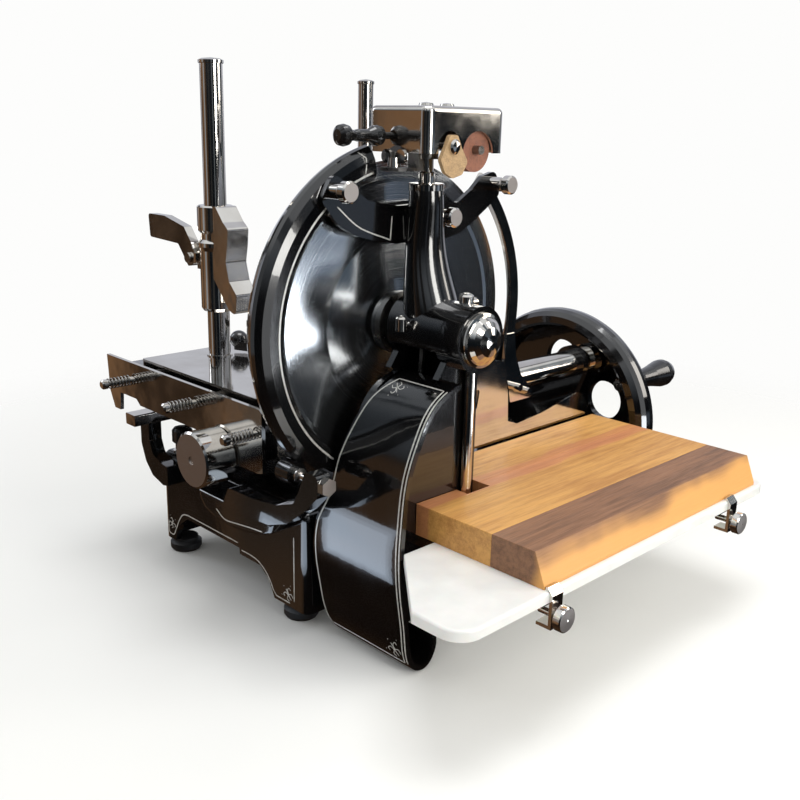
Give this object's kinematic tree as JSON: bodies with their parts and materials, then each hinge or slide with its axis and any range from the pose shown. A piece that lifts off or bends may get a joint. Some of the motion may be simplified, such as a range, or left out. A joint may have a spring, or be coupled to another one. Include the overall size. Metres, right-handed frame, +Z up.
{
  "type": "hand crank meat slicer",
  "caption": "Hand crank meat slicer in black enamel and polished steel: flywheel drive, round blade in a ring guard, sliding feed table, stone sharpener and wooden slice board.",
  "frame": {"origin": "on the floor under the middle of the machine's outer box", "axes": "+Z up; +X from the blade to the slice board; +Y from the apron to the flywheel, along the carriage's travel"},
  "size_m": [0.5678, 0.639, 0.543],
  "materials": {
    "black_enamel": "gloss",
    "polished_steel": "polished",
    "blade_steel": "polished",
    "bare_steel": "satin",
    "bronze": "satin",
    "board_wood": "oiled",
    "white_tray": "satin",
    "black_rubber": "matte",
    "black_plastic": "gloss",
    "tan_stone": "matte",
    "red_stone": "matte"
  },
  "bodies": {
    "frame": {"base_casting": "black_enamel", "rubber_feet": "black_rubber", "curved_apron": "black_enamel", "knife_column": "black_enamel", "neck_column": "black_enamel", "column_collar": "polished_steel", "hub_dome_cap": "polished_steel", "oil_cups": "polished_steel", "ring_guard": "black_enamel", "guard_band": "polished_steel", "guard_yoke": "black_enamel", "guard_nuts": "polished_steel", "guard_foot": "black_enamel", "guard_screw": "polished_steel", "bearing_bushes": "bronze", "drive_chain": "bare_steel", "inner_guide_rail": "polished_steel", "outer_rail": "polished_steel", "rail_arms": "black_enamel", "corner_stud": "polished_steel", "stud_cap": "black_plastic", "front_bracket": "black_enamel", "receiving_tray": "white_tray", "wooden_board": "board_wood", "tray_arms": "polished_steel", "tray_clamps": "polished_steel", "slice_deflector": "polished_steel", "deflector_rod": "polished_steel"},
    "blade": {"blade": "blade_steel", "knife_shaft": "bare_steel", "blade_screws": "bare_steel", "knife_sprocket": "bare_steel"},
    "cross_drive": {"cross_shaft": "bare_steel"},
    "lay_drive": {"lay_shaft": "bare_steel"},
    "flywheel": {"flywheel": "black_enamel", "crank_shaft": "bare_steel", "handle_pin": "polished_steel"},
    "handle": {"crank_handle": "black_plastic"},
    "carriage": {"carriage_frame": "black_enamel", "feed_screw": "bare_steel", "end_plate": "polished_steel", "plate_screws": "polished_steel", "plate_springs": "bare_steel"},
    "thickness_knob": {"thickness_knob": "polished_steel"},
    "table": {"meat_table": "polished_steel", "clamp_posts": "polished_steel"},
    "release_lever": {"release_lever": "black_plastic"},
    "clamp": {"clamp_body": "polished_steel", "press_arm": "polished_steel"},
    "clamp_lever": {"clamp_lever": "polished_steel"},
    "sharpener": {"sharpener_cover": "polished_steel", "sharpener_bracket": "bare_steel", "cover_screws": "polished_steel"},
    "grinding_stone": {"grinding_stone": "red_stone"},
    "leaf_stone": {"leaf_stone": "tan_stone", "leaf_screw": "polished_steel"},
    "sharpener_pull": {"sharpener_pull": "black_plastic"},
    "wing_nut": {"wing_nut": "polished_steel"},
    "thumb_screw_front": {"thumb_screw_front": "polished_steel"},
    "thumb_screw_rear": {"thumb_screw_rear": "polished_steel"}
  },
  "joints": [
    {"name": "flywheel_spin", "type": "hinge", "parent": "frame", "child": "flywheel", "pos_m": [-0.02285, 0.1845, 0.137], "axis": [0, 1, 0], "continuous": true},
    {"name": "lay_shaft_spin", "type": "hinge", "parent": "frame", "child": "lay_drive", "pos_m": [-0.02285, -0.0465, 0.077], "axis": [0, 1, 0], "continuous": true},
    {"name": "cross_shaft_spin", "type": "hinge", "parent": "frame", "child": "cross_drive", "pos_m": [0.04615, -0.1615, 0.077], "axis": [1, 0, 0], "continuous": true},
    {"name": "blade_spin", "type": "hinge", "parent": "frame", "child": "blade", "pos_m": [0.04615, -0.1465, 0.305], "axis": [1, 0, 0], "continuous": true},
    {"name": "handle_spin", "type": "hinge", "parent": "flywheel", "child": "handle", "pos_m": [0.0603, 0.248, 0.18696], "axis": [0, 1, 0], "continuous": true},
    {"name": "carriage_slide", "type": "slide", "parent": "frame", "child": "carriage", "axis": [0, 1, 0], "range_m": [0, 0.135]},
    {"name": "thickness_turn", "type": "hinge", "parent": "carriage", "child": "thickness_knob", "pos_m": [-0.06385, -0.2965, 0.178], "axis": [0, 1, 0], "range_deg": [-180, 180]},
    {"name": "table_feed", "type": "slide", "parent": "carriage", "child": "table", "axis": [1, 0, 0], "range_m": [-0.08, 0]},
    {"name": "release_turn", "type": "hinge", "parent": "table", "child": "release_lever", "pos_m": [-0.14585, -0.1505, 0.237], "axis": [0, 0, 1], "range_deg": [-40, 0]},
    {"name": "clamp_slide", "type": "slide", "parent": "table", "child": "clamp", "axis": [0, 0, 1], "range_m": [-0.012, 0.115]},
    {"name": "clamp_lever_turn", "type": "hinge", "parent": "clamp", "child": "clamp_lever", "pos_m": [-0.15985, -0.2475, 0.353], "axis": [0, 1, 0], "range_deg": [-10, 15]},
    {"name": "sharpener_swing", "type": "hinge", "parent": "frame", "child": "sharpener", "pos_m": [0.06715, -0.1465, 0.46], "axis": [0, 0, 1], "range_deg": [-30, 0]},
    {"name": "grinding_stone_spin", "type": "hinge", "parent": "sharpener", "child": "grinding_stone", "pos_m": [0.07715, -0.1015, 0.465], "axis": [1, 0, 0], "continuous": true},
    {"name": "leaf_stone_turn", "type": "hinge", "parent": "sharpener", "child": "leaf_stone", "pos_m": [0.08715, -0.1385, 0.468], "axis": [1, 0, 0], "range_deg": [-30, 30]},
    {"name": "sharpener_pull_slide", "type": "slide", "parent": "sharpener", "child": "sharpener_pull", "axis": [0, 1, 0], "range_m": [-0.012, 0]},
    {"name": "wing_nut_turn", "type": "hinge", "parent": "sharpener", "child": "wing_nut", "pos_m": [0.05615, -0.1765, 0.45], "axis": [0, 0, 1], "range_deg": [-20, 20]},
    {"name": "thumb_screw_front_turn", "type": "hinge", "parent": "frame", "child": "thumb_screw_front", "pos_m": [0.26915, -0.1925, 0.107], "axis": [1, 0, 0], "continuous": true},
    {"name": "thumb_screw_rear_turn", "type": "hinge", "parent": "frame", "child": "thumb_screw_rear", "pos_m": [0.26915, 0.0995, 0.107], "axis": [1, 0, 0], "continuous": true}
  ],
  "couplings": [
    {"joint": "lay_shaft_spin", "follows": "flywheel_spin", "ratio": -2},
    {"joint": "cross_shaft_spin", "follows": "flywheel_spin", "ratio": 3},
    {"joint": "blade_spin", "follows": "flywheel_spin", "ratio": 3}
  ]
}
